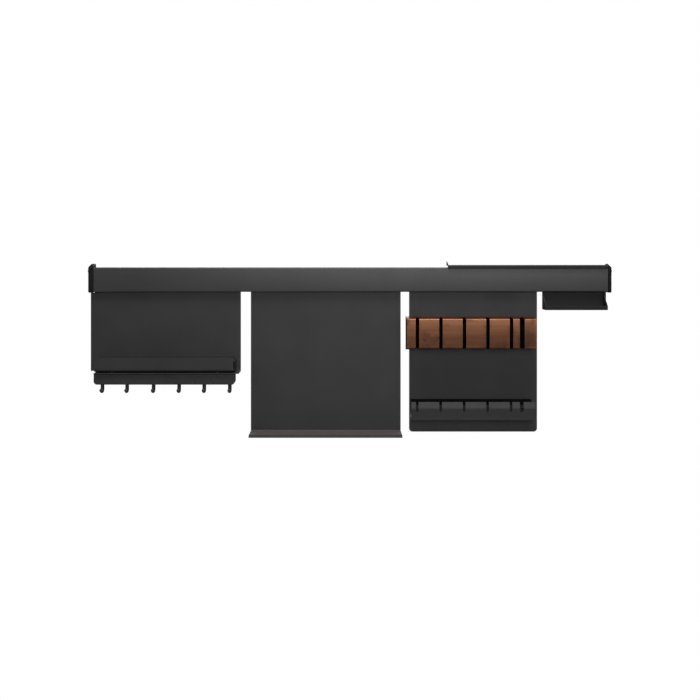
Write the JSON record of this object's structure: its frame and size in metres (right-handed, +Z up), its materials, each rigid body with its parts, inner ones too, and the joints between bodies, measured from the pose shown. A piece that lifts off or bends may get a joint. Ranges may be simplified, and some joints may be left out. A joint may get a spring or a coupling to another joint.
{
  "type": "wall styling station tool rail",
  "caption": "Wall-mounted black tool rail for a hairdressing station with hang-on panels, a lift-out tray, loose hooks, a slotted copper tool rack and a sliding top shelf.",
  "frame": {"origin": "middle of the rail's back face, on the wall plane", "axes": "+X along the rail to the user's right, +Y into the wall, +Z up; the modules face -Y"},
  "size_m": [1.2042, 0.083, 0.3942],
  "materials": {
    "black_powder_coat": "fine-textured satin black powder coat on folded steel",
    "black_cover_coat": "smooth satin black coat on the rail cover and top shelf",
    "brushed_copper": "dark copper, brushed along its length, warm and slightly tarnished",
    "black_nylon": "moulded black nylon",
    "white_nylon": "natural nylon, slightly translucent",
    "black_rubber": "fine-ribbed matt rubber",
    "brown_liner": "dark brown bonded leather liner",
    "zinc_steel": "bright zinc plate"
  },
  "bodies": {
    "rail": {"rail_channel": "black_powder_coat", "rail_fascia": "black_cover_coat", "end_cap_left": "black_nylon", "end_cap_right": "black_nylon", "cap_screw_left_upper": "zinc_steel", "cap_screw_left_lower": "zinc_steel", "cap_screw_right_upper": "zinc_steel", "cap_screw_right_lower": "zinc_steel", "wall_screw_1": "zinc_steel", "wall_screw_2": "zinc_steel", "wall_screw_3": "zinc_steel", "wall_screw_4": "zinc_steel"},
    "tray_module": {"tray_panel": "black_powder_coat", "tray_panel_glide_left": "white_nylon", "tray_panel_glide_right": "white_nylon", "tray_panel_buffer_left": "black_rubber", "tray_panel_buffer_right": "black_rubber", "hook_rail": "black_powder_coat", "hook_rail_plug_left": "black_nylon", "hook_rail_plug_right": "black_nylon", "hook_rail_rivet_left": "zinc_steel", "hook_rail_rivet_right": "zinc_steel"},
    "lift_tray": {"lift_out_tray": "black_powder_coat", "tray_mat": "black_rubber"},
    "ledge_module": {"ledge_panel": "black_powder_coat", "ledge_liner": "brown_liner", "ledge_panel_glide_left": "white_nylon", "ledge_panel_glide_right": "white_nylon", "ledge_panel_buffer_left": "black_rubber", "ledge_panel_buffer_right": "black_rubber"},
    "rack_module": {"rack_panel": "black_powder_coat", "rack_cover": "brushed_copper", "rack_liner": "black_rubber", "guide_trough": "black_powder_coat", "guide_liner": "black_rubber", "rack_rivet_left": "zinc_steel", "rack_rivet_right": "zinc_steel", "guide_rivet_left": "zinc_steel", "guide_rivet_right": "zinc_steel", "rack_panel_glide_left": "white_nylon", "rack_panel_glide_right": "white_nylon", "rack_panel_buffer_left": "black_rubber", "rack_panel_buffer_right": "black_rubber"},
    "clip_module": {"clip_tray": "black_powder_coat", "clip_tray_mat": "black_rubber", "clip_tray_glide": "white_nylon", "clip_tray_buffer": "black_rubber"},
    "shelf": {"top_shelf": "black_cover_coat", "top_shelf_glide_left": "white_nylon", "top_shelf_glide_right": "white_nylon"},
    "loose_hook_1": {"hook_1": "black_powder_coat"},
    "loose_hook_2": {"hook_2": "black_powder_coat"},
    "loose_hook_3": {"hook_3": "black_powder_coat"},
    "loose_hook_4": {"hook_4": "black_powder_coat"},
    "loose_hook_5": {"hook_5": "black_powder_coat"},
    "loose_hook_6": {"hook_6": "black_powder_coat"}
  },
  "joints": [
    {"name": "tray_module_slide", "type": "slide", "parent": "rail", "child": "tray_module", "axis": [1, 0, 0], "range_m": [0, 0.0112]},
    {"name": "ledge_module_slide", "type": "slide", "parent": "rail", "child": "ledge_module", "axis": [1, 0, 0], "range_m": [-0.0112, 0.0052]},
    {"name": "rack_module_slide", "type": "slide", "parent": "rail", "child": "rack_module", "axis": [1, 0, 0], "range_m": [-0.0053, 0.0057]},
    {"name": "clip_module_slide", "type": "slide", "parent": "rail", "child": "clip_module", "axis": [1, 0, 0], "range_m": [-0.0057, 0.0014]},
    {"name": "shelf_slide", "type": "slide", "parent": "rail", "child": "shelf", "axis": [1, 0, 0], "range_m": [-0.81, 0.0012]},
    {"name": "tray_lift", "type": "slide", "parent": "tray_module", "child": "lift_tray", "axis": [0, 0, 1], "range_m": [0, 0.06]},
    {"name": "hook_1_slide", "type": "slide", "parent": "tray_module", "child": "loose_hook_1", "axis": [1, 0, 0], "range_m": [-0.0085, 0.02]},
    {"name": "hook_2_slide", "type": "slide", "parent": "tray_module", "child": "loose_hook_2", "axis": [1, 0, 0], "range_m": [-0.02, 0.02]},
    {"name": "hook_3_slide", "type": "slide", "parent": "tray_module", "child": "loose_hook_3", "axis": [1, 0, 0], "range_m": [-0.02, 0.02]},
    {"name": "hook_4_slide", "type": "slide", "parent": "tray_module", "child": "loose_hook_4", "axis": [1, 0, 0], "range_m": [-0.02, 0.02]},
    {"name": "hook_5_slide", "type": "slide", "parent": "tray_module", "child": "loose_hook_5", "axis": [1, 0, 0], "range_m": [-0.02, 0.02]},
    {"name": "hook_6_slide", "type": "slide", "parent": "tray_module", "child": "loose_hook_6", "axis": [1, 0, 0], "range_m": [-0.02, 0.0035]}
  ]
}
